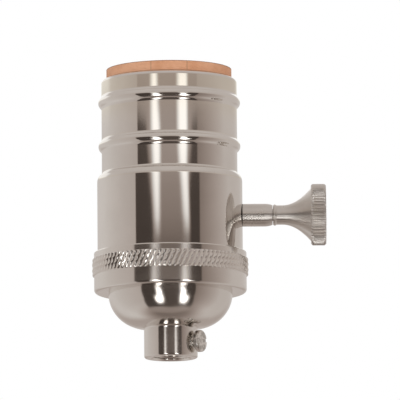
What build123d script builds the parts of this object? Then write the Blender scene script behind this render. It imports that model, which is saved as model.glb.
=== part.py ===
from build123d import *
from math import cos, pi, radians, sin, sqrt, tan
import os

# Rotary knob lamp socket. Millimetres, +Z up towards the lamp, origin at the middle of the
# neck's bottom face. The knob points along +X.

# Cap: neck and thread for the nipple
bore_radius = 4.4
bore_chamfer = 0.4
neck_radius = 7.0
neck_height = 8.0
neck_edge = 0.45

# Cap: dome, drum, knurled rim and lip
dome_section = 9.3
dome_wall = 1.8
drum_edge = 0.8
drum_height = 4.4
cap_floor = 2.1
cap_seat_wall = 0.9
knurl_width = 4.5
knurl_proud = 0.55
knurl_depth = 0.45
knurl_pitch = 1.36
knurl_rows = 3
lip_height = 1.7
lip_round = 0.3

# Set screw in the neck
screw_bearing = -27.0
screw_level = 4.0
screw_radius = 2.05
screw_head_radius = 2.88
screw_head_height = 1.45
screw_length = 2.7
screw_backed_out = 0.95
screw_slot_width = 0.9
screw_slot_depth = 0.6

# Outer shell
shell_radius = 19.05
shell_wall = 1.2
shoulder_step = 1.25
shoulder_round = 2.8
shoulder_above_knob = 8.95
upper_height = 24.7
bead_height = 3.15
bead_proud = 0.84
lower_bead_up = 7.0
upper_bead_up = 18.6
mouth_round = 0.85

# Fibre liner and cap ring
liner_wall = 0.8
liner_proud = 2.75
fibre_thickness = 0.5

# Switch body
body_deck = 8.6
knob_above_deck = 9.2
body_above_knob = 10.3
foot_wall = 2.7
foot_span = 17.0
flat_depth = 3.8

# Lamp screw shell and centre contact
thread_inner_radius = 12.5
thread_depth = 0.8
thread_pitch = 3.629
thread_turns = 4.5
thread_above_floor = 4.4
thread_foot = 2.8
thread_crest = 0.8
sheet = 0.4
screw_shell_height = 24.6
screw_shell_hole = 6.5
rim_flare = 0.6
washer_thickness = 0.8
contact_width = 4.4
contact_rise = 4.2
contact_reach = 4.6

# Knob and stem
stem_radius = 3.0
stem_length = 11.6
stem_tip_radius = 2.62
stem_tip_length = 1.9
collar_radius = 2.82
collar_width = 0.9
knob_neck_radius = 2.58
knob_neck_length = 1.7
flare_round = 6.2
flare_angle = 35.0
flare_length = 7.4
knob_radius = 8.1
knob_thickness = 3.9
knob_edge = 0.35
flute_count = 51
flute_depth = 0.42
flute_share = 0.72
stub_radius = 1.6
stub_length = 6.6

# Switch shaft, rotor and contacts
shaft_radius = 1.6
shaft_flat = 1.15
shaft_in_stem = 5.0
rotor_radius = 4.2
rotor_length = 12.4
detent_length = 4.2
detent_flat = 0.25
bridge_radius = 5.0
bridge_width = 4.4
bridge_thickness = 0.8
bridge_place = 2.8
pocket_radius = 5.7
bearing_wall = 2.8
clip_radius = 3.0
clip_thickness = 0.6
clip_groove = 0.3
bushing_radius = 2.8
bushing_length = 6.0
bushing_flange = 1.0
bushing_flange_width = 1.0
blade_width = 3.6
blade_lap = 2.8
riser_set_out = 2.6
link_above_knob = 3.0
spring_thickness = 0.35

# Terminals and rivets
plate = 0.8
plate_width = 9.0
plate_height = 9.0
plate_above_deck = 2.6
terminal_edge = 1.0
strap_width = 4.0
strap_place = 6.5
terminal_screw_radius = 1.75
terminal_head_radius = 3.1
terminal_head_height = 1.6
terminal_screw_length = 4.6
terminal_slot = 0.8
rivet_radius = 1.1
rivet_head_radius = 1.8
rivet_head_height = 0.7
rivet_x = 6.5
rivet_in_from_middle = 0.85

# Clearances
thread_fit = 0.05
slip_fit = 0.05
running_fit = 0.05
liner_fit = 0.15
body_fit = 0.25
stem_gap = 0.4
contact_gap = 0.15
side_gap = 0.4
bend_round = 0.5

# Levels that follow from the cap
drum_bottom = neck_height + dome_section
dome_rim = neck_radius + dome_section
seat_level = drum_bottom + cap_floor
knurl_bottom = drum_bottom + drum_height
knurl_top = knurl_bottom + knurl_width
lip_top = knurl_top + lip_height
seat_radius = shell_radius + thread_fit
drum_radius = seat_radius + cap_seat_wall
dome_bore = dome_rim - dome_wall
fibre_level = seat_level + fibre_thickness

# Levels of the switch body and what stands on it
deck_level = fibre_level + body_deck
knob_level = deck_level + knob_above_deck
body_top = knob_level + body_above_knob
screw_shell_floor = body_top + washer_thickness
shoulder_level = knob_level + shoulder_above_knob
shoulder_height = sqrt(shoulder_round**2 - (shoulder_round - shoulder_step) ** 2)
upper_radius = shell_radius - shoulder_step
upper_start = shoulder_level + shoulder_height
shell_top = upper_start + upper_height
liner_top = shell_top + liner_proud

# Radii of what stands inside the outer shell
shell_bore = shell_radius - shell_wall
upper_bore = upper_radius - shell_wall
liner_radius = upper_bore - liner_fit
liner_bore = liner_radius - liner_wall
body_radius = liner_bore - body_fit
body_flat = body_radius - flat_depth

# The rivets stand a little inside the middle between the screw shell's hole and the flats
rivet_y = (screw_shell_hole + body_flat) / 2 - rivet_in_from_middle

# Places along the knob's axis, from the middle of the socket
rotor_end = rotor_length / 2
pocket_end = rotor_end + side_gap
bushing_start = pocket_end + side_gap
bushing_end = bushing_start + bushing_length
stem_start = bushing_end + side_gap
stem_end = stem_start + stem_length + stem_tip_length
shaft_tip = stem_start + shaft_in_stem
clip_place = -pocket_end - bearing_wall - contact_gap
shaft_start = clip_place - clip_thickness - side_gap
knob_start = stem_end + contact_gap
knob_neck_start = knob_start + collar_width
flare_start = knob_neck_start + knob_neck_length
head_back = flare_start + flare_length
knob_face = head_back + knob_thickness

upright = (Align.CENTER, Align.CENTER, Align.MIN)


def rod(radius, low, high):
    """Cylinder on the Z axis between two levels."""
    return Pos(0, 0, low) * Cylinder(radius, high - low, align=upright)


def ring(inner, outer, low, high):
    """Tube on the Z axis between two levels."""
    return rod(outer, low, high) - rod(inner, low, high)


def block(x, y, z):
    """Box between three pairs of limits."""
    middle = Pos((x[0] + x[1]) / 2, (y[0] + y[1]) / 2, (z[0] + z[1]) / 2)
    return middle * Box(x[1] - x[0], y[1] - y[0], z[1] - z[0])


def turned(outline):
    """Solid turned about Z from a closed outline of radius and height."""
    return revolve(Plane.XZ * make_face(outline), Axis.Z)


def on_knob_axis(shape):
    """Lays a shape that was made on the Z axis along the knob's axis."""
    return Pos(0, 0, knob_level) * Rot(0, 90, 0) * shape


def bent_strip(points, thickness, width, place):
    """Strip of sheet bent in the YZ plane. The points are its middle line, place its middle in X."""
    section = trace(FilletPolyline(*points, radius=bend_round), thickness)
    return Pos(place - width / 2, 0, 0) * extrude(Plane.YZ * section, width)


def rivet(x, y, low, high):
    """Rivet whose shank runs between two levels, with a round head beyond each."""
    head = Cone(rivet_head_radius, rivet_head_radius * 0.6, rivet_head_height, align=upright)
    shank = rod(rivet_radius, low, high)
    return Pos(x, y, 0) * (shank + Pos(0, 0, high) * head + Pos(0, 0, low) * Rot(180, 0, 0) * head)


def cap_outside():
    """Neck, quarter-round dome, drum and lip as one turned blank, without its hollow."""
    dome_middle = (neck_radius, drum_bottom)
    slant = sqrt(0.5)
    lip_start = (drum_radius, lip_top - lip_round)
    lip_end = (drum_radius - lip_round, lip_top)
    outline = Polyline((0, 0), (neck_radius - neck_edge, 0), (neck_radius, neck_edge), (neck_radius, neck_height))
    outline += ThreePointArc(
        (neck_radius, neck_height),
        (dome_middle[0] + dome_section * slant, dome_middle[1] - dome_section * slant),
        (dome_rim, drum_bottom),
    )
    outline += Line((dome_rim, drum_bottom), (drum_radius - drum_edge, drum_bottom))
    outline += ThreePointArc(
        (drum_radius - drum_edge, drum_bottom),
        (drum_radius - drum_edge * (1 - slant), drum_bottom + drum_edge * (1 - slant)),
        (drum_radius, drum_bottom + drum_edge),
    )
    outline += Line((drum_radius, drum_bottom + drum_edge), lip_start)
    outline += ThreePointArc(
        lip_start,
        (drum_radius - lip_round * (1 - slant), lip_top - lip_round * (1 - slant)),
        lip_end,
    )
    outline += Polyline(lip_end, (0, lip_top), (0, 0))
    return turned(outline)


def cap_hollow():
    """What is bored out of the cap: nipple thread, wiring space and the seat of the outer shell."""
    slant = sqrt(0.5)
    hollow_section = dome_section - dome_wall
    hollow_floor = drum_bottom - hollow_section
    outline = Polyline(
        (0, 0), (bore_radius + bore_chamfer, 0), (bore_radius, bore_chamfer), (bore_radius, hollow_floor),
        (neck_radius, hollow_floor),
    )
    outline += ThreePointArc(
        (neck_radius, hollow_floor),
        (neck_radius + hollow_section * slant, drum_bottom - hollow_section * slant),
        (dome_bore, drum_bottom),
    )
    outline += Polyline(
        (dome_bore, drum_bottom), (dome_bore, seat_level), (seat_radius, seat_level), (seat_radius, lip_top),
        (0, lip_top), (0, 0),
    )
    return turned(outline)


def knurled_band():
    """Diamond knurl: four-sided points in rows, each row half a pitch on from the one below."""
    peak = drum_radius + knurl_proud
    valley = peak - knurl_depth
    columns = 2 * round(2 * pi * peak / knurl_pitch)
    step = 2 * pi / columns
    rise = knurl_width / knurl_rows

    def point(column, row):
        radius = peak if (column + row) % 2 else valley
        angle = column % columns * step
        return Vector(radius * cos(angle), radius * sin(angle), knurl_bottom + row * rise)

    faces = []
    for column in range(columns):
        for row in range(knurl_rows):
            low_near = point(column, row)
            low_far = point(column + 1, row)
            top_near = point(column, row + 1)
            top_far = point(column + 1, row + 1)
            if (column + row) % 2:
                halves = ((low_near, low_far, top_near), (low_far, top_far, top_near))
            else:
                halves = ((low_near, low_far, top_far), (low_near, top_far, top_near))
            faces += [Face(Wire.make_polygon(half)) for half in halves]
    for row in (0, knurl_rows):
        faces.append(Face(Wire.make_polygon([point(column, row) for column in range(columns)])))
    return Solid(Shell(faces))


def cap():
    """One turned piece: threaded neck, dome, drum, knurled rim and lip, with the set screw's hole."""
    body = cap_outside() + knurled_band() - cap_hollow()
    return body - in_neck(rod(screw_radius + running_fit, 0, neck_radius + bore_radius))


def in_neck(shape):
    """Lays a shape that was made on the Z axis along the set screw's axis."""
    return Pos(0, 0, screw_level) * Rot(0, 0, screw_bearing) * Rot(0, 90, 0) * shape


def set_screw():
    """Slotted screw, backed out of the neck, with a rounded head and a cup at its tip."""
    head_back_place = neck_radius + screw_backed_out
    head_face = head_back_place + screw_head_height
    head = rod(screw_head_radius, head_back_place, head_face)
    head = chamfer(head.edges().group_by(Axis.Z)[-1], screw_head_height * 0.3)
    slot = Pos(0, 0, head_face) * Box(screw_slot_width, 3 * screw_head_radius, 2 * screw_slot_depth)
    shank = rod(screw_radius, head_back_place - screw_length, head_back_place)
    shank = chamfer(shank.edges().group_by(Axis.Z)[0], screw_radius * 0.2)
    return in_neck(head + shank - slot)


def shell_outline():
    """Section of the outer shell: plain skirt, round shoulder, two rolled beads and a rounded mouth."""
    slant = sqrt(0.5)
    half_way = shoulder_height / 2
    half_way_in = shoulder_round - sqrt(shoulder_round**2 - half_way**2)
    outline = Line((shell_radius, seat_level), (shell_radius, shoulder_level))
    outline += ThreePointArc(
        (shell_radius, shoulder_level),
        (shell_radius - half_way_in, shoulder_level + half_way),
        (upper_radius, upper_start),
    )
    place = upper_start
    for bead in bead_levels():
        outline += Line((upper_radius, place), (upper_radius, bead - bead_height / 2))
        outline += ThreePointArc(
            (upper_radius, bead - bead_height / 2),
            (upper_radius + bead_proud, bead),
            (upper_radius, bead + bead_height / 2),
        )
        place = bead + bead_height / 2
    outline += Line((upper_radius, place), (upper_radius, shell_top - mouth_round))
    outline += ThreePointArc(
        (upper_radius, shell_top - mouth_round),
        (upper_radius - mouth_round * (1 - slant), shell_top - mouth_round * (1 - slant)),
        (upper_radius - mouth_round, shell_top),
    )
    inside = [(upper_radius - mouth_round, shell_top), (upper_bore, shell_top)]
    for bead in reversed(bead_levels()):
        half = (bead_height - shell_wall) / 2
        inside += [(upper_bore, bead + half), (upper_bore + bead_proud, bead + half / 3)]
        inside += [(upper_bore + bead_proud, bead - half / 3), (upper_bore, bead - half)]
    inside += [(upper_bore, upper_start - shell_wall / 2), (shell_bore, shoulder_level - shell_wall / 2)]
    inside += [(shell_bore, seat_level), (shell_radius, seat_level)]
    return outline + Polyline(*inside)


def bead_levels():
    """Middle levels of the rolled beads, the lower one first."""
    return [upper_start + lower_bead_up, upper_start + upper_bead_up]


def outer_shell():
    """Drawn shell with the round hole that the stem passes through."""
    hole = on_knob_axis(rod(stem_radius + stem_gap, shell_bore / 2, shell_radius + shell_wall))
    return turned(shell_outline()) - hole


def insulating_liner():
    """Fibre tube from the cap to just above the mouth, notched from below for the stem."""
    notch = stem_radius + stem_gap
    tube = ring(liner_bore, liner_radius, fibre_level, liner_top)
    slot = block((0, 2 * liner_radius), (-notch, notch), (seat_level, knob_level))
    return tube - slot - on_knob_axis(rod(notch, 0, 2 * liner_radius))


def cap_liner():
    """Fibre ring on the cap's ledge, under the liner and the feet of the switch body."""
    return ring(body_radius - foot_wall, shell_bore - liner_fit, seat_level, fibre_level)


def shaft_room():
    """Room inside the switch body for the rotor, the shaft, its clip and its bushing."""
    room = rod(pocket_radius, -pocket_end, pocket_end)
    room += rod(shaft_radius + running_fit, shaft_start - side_gap, 0)
    room += rod(clip_radius + side_gap, shaft_start, -pocket_end - bearing_wall)
    room += rod(bushing_radius + slip_fit, 0, bushing_end)
    flange_low = bushing_start + bushing_length / 3
    flange_room = bushing_radius + bushing_flange + slip_fit
    room += rod(flange_room, flange_low - slip_fit, flange_low + bushing_flange_width + slip_fit)
    room += rod(stem_radius + stem_gap, bushing_end, 2 * body_radius)
    return on_knob_axis(room)


def spring_room():
    """Slot under the rotor that carries the detent spring's ends."""
    low = knob_level - rotor_radius - contact_gap - spring_thickness
    x = (-rotor_end - slip_fit, -rotor_end + detent_length + slip_fit)
    return block(x, (-pocket_radius, pocket_radius), (low, knob_level))


def blade_room():
    """Slots for the two blades, for the link to the line terminal and for the riser to the top."""
    half = blade_width / 2 + slip_fit
    x = (bridge_place - half, bridge_place + half)
    inner = bridge_radius - contact_gap
    outer = bridge_radius + contact_gap + sheet + bend_round
    low = blade_low() - slip_fit
    link = link_level()
    room = block(x, (-outer, -inner), (low, link + 2 * plate))
    room += block(x, (-2 * body_flat, -inner), (link - plate, link + 2 * plate))
    room += block(x, (inner, outer), (low, link + 2 * plate))
    room += block(x, (inner, riser_place() + sheet), (link - sheet, link + 2 * plate))
    room += block(x, (riser_place() - sheet, riser_place() + sheet), (link - sheet, body_top))
    room += block(x, (0, riser_place() + sheet), (body_top - sheet, body_top + sheet))
    return room


def blade_low():
    """Lower end of the contact blades."""
    return knob_level - rotor_radius + contact_gap


def link_level():
    """Level at which the blades leave the rotor, just above its bridge."""
    return knob_level + link_above_knob


def riser_place():
    """Distance of the centre blade's riser from the middle plane."""
    return pocket_radius + riser_set_out


def rivet_holes(places, low, high):
    """Round holes for rivets at the given places."""
    hole = rod(rivet_radius + slip_fit, low, high)
    return [Pos(x, y, 0) * hole for x, y in places]


def flats():
    """What the two terminal flats take off the sides of the switch body."""
    far = 2 * body_radius
    z = (deck_level, body_top)
    return [block((-far, far), (body_flat, far), z), block((-far, far), (-far, -body_flat), z)]


def terminal_holes():
    """Clearance holes behind the terminal plates for the screws' ends."""
    depth = body_flat + plate - terminal_screw_length - side_gap
    hole = rod(terminal_screw_radius + side_gap / 2, depth, body_radius)
    level = terminal_screw_level()
    return [Pos(0, 0, level) * Rot(turn, 0, 0) * hole for turn in (90, -90)]


def terminal_screw_level():
    """Level of both terminal screws."""
    return deck_level + plate_above_deck + plate_height / 2


def switch_body_lower():
    """Moulded lower half on two feet that leave room for the wires between them."""
    half = rod(body_radius, deck_level, knob_level)
    feet = ring(body_radius - foot_wall, body_radius, fibre_level, deck_level)
    half += feet & block((-body_radius, body_radius), (-foot_span / 2, foot_span / 2), (fibre_level, deck_level))
    half -= [shaft_room(), spring_room(), blade_room(), *flats(), *terminal_holes()]
    return half - rivet_holes(body_rivet_places(), deck_level, knob_level)


def switch_body_upper():
    """Moulded upper half, with the strap's recess and the rivets' holes."""
    half = rod(body_radius, knob_level, body_top)
    strap = block(
        (-strap_place - strap_width / 2, -strap_place + strap_width / 2),
        (rivet_y - strap_width / 2, body_radius),
        (body_top - plate, body_top),
    )
    half -= [shaft_room(), blade_room(), strap, *flats(), *terminal_holes()]
    half -= rivet_holes(body_rivet_places() + shell_rivet_places(), knob_level, body_top)
    tail = rod(rivet_head_radius + slip_fit, knob_level, shell_rivet_low())
    head = rod(rivet_head_radius + slip_fit, body_top - rivet_head_height, body_top)
    half -= [Pos(x, y, 0) * tail for x, y in shell_rivet_places()]
    return half - [Pos(x, y, 0) * head for x, y in body_rivet_places()]


def body_rivet_places():
    return [(-rivet_x, -rivet_y), (rivet_x, rivet_y)]


def shell_rivet_places():
    return [(-rivet_x, rivet_y), (rivet_x, -rivet_y)]


def shell_rivet_low():
    """Lower end of the shell rivets' shanks, sunk in the upper half."""
    return knob_level + 2 * rivet_head_height


def body_rivets():
    """Two rivets through both halves, their upper heads sunk flush."""
    return [rivet(x, y, deck_level, body_top - rivet_head_height) for x, y in body_rivet_places()]


def shell_rivets():
    """Two rivets through the floor of the screw shell and the upper half."""
    top = screw_shell_floor + sheet
    return [rivet(x, y, shell_rivet_low(), top) for x, y in shell_rivet_places()]


def shell_washer():
    """Fibre washer between the screw shell and the switch body."""
    washer = ring(screw_shell_hole, thread_inner_radius + sheet, body_top, screw_shell_floor)
    return washer - rivet_holes(shell_rivet_places(), body_top, screw_shell_floor)


def thread_wave(radius, foot, crest, turns_more, sink):
    """Helical ridge of the lamp thread that stands on a tube of the given radius."""
    turns = thread_turns + turns_more
    helix = Helix(pitch=thread_pitch, height=thread_pitch * turns, radius=radius)
    section = Polyline(
        (-sink, -foot / 2), (thread_depth, -crest / 2), (thread_depth, crest / 2), (-sink, foot / 2), close=True
    )
    plane = Plane(origin=helix @ 0, x_dir=(1, 0, 0), z_dir=helix % 0)
    wave = sweep(plane * make_face(section), path=helix, is_frenet=True)
    return Pos(0, 0, screw_shell_floor + thread_above_floor) * wave


def screw_shell():
    """Drawn cup with the lamp's round thread pressed into its wall and a flared rim."""
    outer = thread_inner_radius + sheet
    top = screw_shell_floor + screw_shell_height
    cup = Polyline(
        (screw_shell_hole, screw_shell_floor), (outer - sheet, screw_shell_floor),
        (outer, screw_shell_floor + sheet), (outer, top - rim_flare), (outer + rim_flare, top),
        (outer + rim_flare - sheet, top), (thread_inner_radius, top - rim_flare),
        (thread_inner_radius, screw_shell_floor + sheet), (screw_shell_hole, screw_shell_floor + sheet),
        close=True,
    )
    sink = sheet / 2
    body = turned(cup) + thread_wave(outer, thread_foot + sheet, thread_crest + sheet, 0, sink)
    body -= thread_wave(thread_inner_radius, thread_foot - sheet, thread_crest, 0, sink)
    return body - rivet_holes(shell_rivet_places(), screw_shell_floor, screw_shell_floor + sheet)


def centre_contact():
    """Leaf spring on the switch body, folded back over itself up to the lamp's tip."""
    foot = body_top + sheet / 2
    tip = foot + contact_rise
    points = [
        (contact_reach, foot), (-contact_reach, foot), (-contact_reach, foot + contact_rise / 3),
        (-contact_reach / 3, tip), (contact_reach / 3, tip), (contact_reach * 0.8, tip - contact_rise / 3),
    ]
    return bent_strip(points, sheet, contact_width, 0)


def line_terminal():
    """Plate for the line wire, turned in at its top towards the rotor."""
    low = deck_level + plate_above_deck
    face = -(body_flat + plate / 2)
    link = link_level() - plate / 2
    inner = -(pocket_radius + terminal_edge)
    tab = block((-plate_width / 2, plate_width / 2), (-body_flat - plate, -body_flat), (low, low + plate_height))
    neck = bent_strip([(face, low + plate_height / 2), (face, link), (inner, link)], plate, blade_width, bridge_place)
    hole = Pos(0, 0, terminal_screw_level()) * Rot(90, 0, 0) * rod(terminal_screw_radius, 0, body_radius)
    return tab + neck - hole


def neutral_terminal():
    """Strap from under the screw shell down to the plate for the neutral wire."""
    low = deck_level + plate_above_deck
    face = body_flat + plate / 2
    tab = block((-plate_width / 2, plate_width / 2), (body_flat, body_flat + plate), (low, low + plate_height))
    link = block(
        (-strap_place - strap_width / 2, plate_width / 2),
        (body_flat, body_flat + plate),
        (low + plate_height - strap_width, low + plate_height),
    )
    top = body_top - plate / 2
    inner = rivet_y - strap_width / 2
    strap = bent_strip([(face, low + plate_height - plate), (face, top), (inner, top)], plate, strap_width, -strap_place)
    hole = Pos(0, 0, terminal_screw_level()) * Rot(-90, 0, 0) * rod(terminal_screw_radius, 0, body_radius)
    return tab + link + strap - [hole, *rivet_holes(shell_rivet_places(), deck_level, screw_shell_floor)]


def terminal_screw(turn):
    """Slotted binding screw through a terminal plate. The turn about X chooses its side."""
    back = body_flat + plate
    face = back + terminal_head_height
    head = rod(terminal_head_radius, back, face)
    head = chamfer(head.edges().group_by(Axis.Z)[-1], terminal_head_height * 0.3)
    slot = Pos(0, 0, face) * Box(terminal_slot, 3 * terminal_head_radius, terminal_head_height)
    shank = rod(terminal_screw_radius, back - terminal_screw_length, back)
    return Pos(0, 0, terminal_screw_level()) * Rot(turn, 0, 0) * (head + shank - slot)


def line_blade():
    """Leaf that stands beside the rotor and lies on the line terminal's inner end."""
    face = -(bridge_radius + contact_gap + sheet / 2)
    top = link_level() + sheet / 2
    points = [(face, blade_low()), (face, top), (-(pocket_radius + blade_lap), top)]
    return bent_strip(points, sheet, blade_width, bridge_place)


def centre_blade():
    """Leaf beside the rotor that rises to the top of the body, under the centre contact."""
    face = bridge_radius + contact_gap + sheet / 2
    top = link_level() + sheet / 2
    riser = riser_place()
    lid = body_top - sheet / 2
    points = [(face, blade_low()), (face, top), (riser, top), (riser, lid), (contact_width / 4, lid)]
    return bent_strip(points, sheet, blade_width, bridge_place)


def switch_shaft():
    """Shaft with a flat where the rotor sits, a groove for the clip and its end in the stem."""
    shaft = rod(shaft_radius, shaft_start, shaft_tip)
    shaft -= block((shaft_flat, 2 * shaft_radius), (-shaft_radius, shaft_radius), (-rotor_end, rotor_end))
    return on_knob_axis(shaft - ring(shaft_radius - clip_groove, clip_radius, clip_place - clip_thickness, clip_place))


def shaft_bore(low, high):
    """Hole that fits the flatted stretch of the shaft."""
    hole = rod(shaft_radius, low, high)
    return hole - block((shaft_flat, 2 * shaft_radius), (-shaft_radius, shaft_radius), (low, high))


def shaft_clip():
    """Open ring in the shaft's groove that keeps the shaft from pulling out."""
    low = clip_place - clip_thickness
    opening = block((0, 2 * clip_radius), (-shaft_radius * 0.7, shaft_radius * 0.7), (low, clip_place))
    return on_knob_axis(ring(shaft_radius - clip_groove, clip_radius, low, clip_place) - opening)


def shaft_bushing():
    """Flanged collar caught between the halves of the body, in which the shaft turns."""
    low = bushing_start + bushing_length / 3
    collar = rod(bushing_radius, bushing_start, bushing_end)
    collar += rod(bushing_radius + bushing_flange, low, low + bushing_flange_width)
    return on_knob_axis(collar - rod(shaft_radius + running_fit, bushing_start, bushing_end))


def bridge_blank():
    """Strip across the rotor with round ends."""
    low = bridge_place - bridge_thickness / 2
    high = bridge_place + bridge_thickness / 2
    half = bridge_width / 2
    return rod(bridge_radius, low, high) & block((-bridge_radius, bridge_radius), (-half, half), (low, high))


def bridge_contact():
    """Brass strip that joins the two blades when the knob has turned a quarter."""
    low = bridge_place - bridge_thickness / 2
    high = bridge_place + bridge_thickness / 2
    return on_knob_axis(bridge_blank() - shaft_bore(low, high))


def switch_rotor():
    """Insulating hub with four shallow flats for the detent spring and the bridge through it."""
    hub = rod(rotor_radius, -rotor_end, rotor_end)
    across = 2 * (rotor_radius - detent_flat)
    detent = rod(rotor_radius, -rotor_end, -rotor_end + detent_length)
    square = block((-across / 2, across / 2), (-across / 2, across / 2), (-rotor_end, -rotor_end + detent_length))
    hub -= detent - square
    return on_knob_axis(hub - [bridge_blank(), shaft_bore(-rotor_end, rotor_end)])


def detent_spring():
    """Flat spring under the rotor, drawn as far down as the rotor's round presses it."""
    top = knob_level - rotor_radius - contact_gap
    x = (-rotor_end, -rotor_end + detent_length)
    return block(x, (-pocket_radius, pocket_radius), (top - spring_thickness, top))


def knob_stem():
    """Round stem plugged on the shaft, with a rounded shoulder and a threaded stub for the knob."""
    shoulder = stem_start + stem_length
    outline = Polyline((0, stem_start), (stem_radius, stem_start), (stem_radius, shoulder))
    outline += ThreePointArc(
        (stem_radius, shoulder),
        (stem_radius - (stem_radius - stem_tip_radius) * 0.3, shoulder + stem_tip_length * 0.5),
        (stem_tip_radius, stem_end),
    )
    outline += Polyline(
        (stem_tip_radius, stem_end), (stub_radius, stem_end), (stub_radius, stem_end + stub_length),
        (0, stem_end + stub_length), (0, stem_start),
    )
    return on_knob_axis(turned(outline) - rod(shaft_radius, stem_start, shaft_tip))


def fluted_face(radius):
    """Round of the given outer radius, cut by straight flutes."""
    step = 2 * pi / flute_count
    floor = radius - flute_depth
    points = []
    for flute in range(flute_count):
        start = flute * step
        land = start + step * (1 - flute_share)
        middle = (land + start + step) / 2
        points += [(radius * cos(angle), radius * sin(angle)) for angle in (start, land)]
        points.append((floor * cos(middle), floor * sin(middle)))
    return make_face(Polyline(*points, close=True))


def fluted_head():
    """Head of the knob, its flutes running out in a small bevel at both ends."""
    ends = (head_back, knob_face)
    inner_levels = (head_back + knob_edge, knob_face - knob_edge)
    full = fluted_face(knob_radius)
    small = fluted_face(knob_radius - knob_edge)
    head = Pos(0, 0, inner_levels[0]) * extrude(full, inner_levels[1] - inner_levels[0])
    for end, level in zip(ends, inner_levels):
        head += loft([Pos(0, 0, end) * small, Pos(0, 0, level) * full], ruled=True)
    return head


def knob():
    """Turned collar, neck and flared throat with a straight-fluted head."""
    lean = radians(flare_angle)
    arc_end = flare_start + flare_round * sin(lean)
    arc_rise = flare_round * (1 - cos(lean))
    half_lean = lean / 2
    throat = knob_neck_radius + arc_rise + (head_back - arc_end) * tan(lean)
    bulge = (collar_radius, knob_start + collar_width / 2)
    outline = Polyline((stub_radius, knob_start), (knob_neck_radius, knob_start))
    outline += ThreePointArc((knob_neck_radius, knob_start), bulge, (knob_neck_radius, knob_neck_start))
    outline += Line((knob_neck_radius, knob_neck_start), (knob_neck_radius, flare_start))
    outline += ThreePointArc(
        (knob_neck_radius, flare_start),
        (knob_neck_radius + flare_round * (1 - cos(half_lean)), flare_start + flare_round * sin(half_lean)),
        (knob_neck_radius + arc_rise, arc_end),
    )
    outline += Polyline(
        (knob_neck_radius + arc_rise, arc_end), (throat, head_back), (throat, head_back + knob_edge),
        (0, head_back + knob_edge), (0, knob_start), (stub_radius, knob_start),
    )
    stub_hole = rod(stub_radius, knob_start, stem_end + stub_length + contact_gap)
    return on_knob_axis(fluted_head() + turned(outline) - stub_hole)


pieces = {
    "cap": cap(),
    "set_screw": set_screw(),
    "outer_shell": outer_shell(),
    "insulating_liner": insulating_liner(),
    "cap_liner": cap_liner(),
    "switch_body_lower": switch_body_lower(),
    "switch_body_upper": switch_body_upper(),
    "body_rivets": body_rivets(),
    "screw_shell": screw_shell(),
    "shell_washer": shell_washer(),
    "shell_rivets": shell_rivets(),
    "centre_contact": centre_contact(),
    "line_terminal": line_terminal(),
    "neutral_terminal": neutral_terminal(),
    "line_terminal_screw": terminal_screw(90),
    "neutral_terminal_screw": terminal_screw(-90),
    "line_blade": line_blade(),
    "centre_blade": centre_blade(),
    "switch_shaft": switch_shaft(),
    "shaft_clip": shaft_clip(),
    "shaft_bushing": shaft_bushing(),
    "switch_rotor": switch_rotor(),
    "bridge_contact": bridge_contact(),
    "detent_spring": detent_spring(),
    "knob_stem": knob_stem(),
    "knob": knob(),
}

os.makedirs("parts", exist_ok=True)
for name, piece in pieces.items():
    solids = piece if isinstance(piece, list) else [piece]
    shape = solids[0] if len(solids) == 1 else Compound(children=solids)
    export_step(shape, f"parts/{name}.step")
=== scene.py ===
from math import acos, cos, hypot, pi, radians, sin

import bmesh
import bpy
from mathutils import Matrix, Vector


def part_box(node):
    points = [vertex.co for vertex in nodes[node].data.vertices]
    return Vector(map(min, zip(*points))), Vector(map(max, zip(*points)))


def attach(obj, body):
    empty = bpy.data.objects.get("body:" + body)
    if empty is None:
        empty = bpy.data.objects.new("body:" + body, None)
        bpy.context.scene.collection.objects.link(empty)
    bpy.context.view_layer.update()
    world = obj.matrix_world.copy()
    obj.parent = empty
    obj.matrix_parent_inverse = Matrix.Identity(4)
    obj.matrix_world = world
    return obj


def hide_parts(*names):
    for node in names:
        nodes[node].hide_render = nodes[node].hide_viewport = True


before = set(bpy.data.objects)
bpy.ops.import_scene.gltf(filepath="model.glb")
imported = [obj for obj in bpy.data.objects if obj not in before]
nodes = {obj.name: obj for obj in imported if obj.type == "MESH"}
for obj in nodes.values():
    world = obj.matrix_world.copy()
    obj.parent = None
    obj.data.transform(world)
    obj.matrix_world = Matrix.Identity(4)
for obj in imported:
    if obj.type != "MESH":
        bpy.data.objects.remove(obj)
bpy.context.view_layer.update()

# Lengths are in metres and angles in degrees. A direction seen from the socket has a turn, from the
# front towards the right, and a level, above the horizon.

# Camera: below the socket, looking up at it, as the photograph does
axis_middle = 0.0383
camera_distance = 2.195
camera_drop = 8.54
camera_roll = -0.45
camera_lens = 752.6
aim_right = 0.00792
aim_up = 0.0035

# Floor, and the soft lamps with their places and watts
floor_half_width = 1.5
floor_level = -0.42
soft_lamp_size = 0.2
soft_lamps = {
    "front_lamp": ((-0.12, -0.33, 0.12), 0.35),
    "right_lamp": ((0.28, -0.15, 0.16), 0.2),
}

# Light tent round the socket: radius, where its front is open, and how bright its parts are
tent_radius = 0.4
opening_left = -54.5
opening_right = 47.5
opening_top = 14.0
back_light = 0.64
low_back_light = 0.46
top_light = 0.6
foot_light = 0.2
backdrop_light = 1.05
tent_warm, tent_cool = (1.0, 0.80, 0.70, 1.0), (1.0, 0.99, 0.97, 1.0)
tent_yellow = (1.0, 0.975, 0.90, 1.0)

# Two low lamps in the tent's opening: the inner and outer turn of each stand and head from the
# middle between them, and their levels. They show in the dome, the neck and along the stem.
stand_turns = (19.0, 26.0)
stand_levels = (-34.0, 4.2)
head_light = 6.0
head_middle = 3.0
head_turns = (21.0, 31.5)
head_levels = (-48.0, -31.0)

# Lathe lines on the nickel: how many to a metre, and how much they wander along their run
lines_a_metre = 9000.0
line_wander = 60.0

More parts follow.
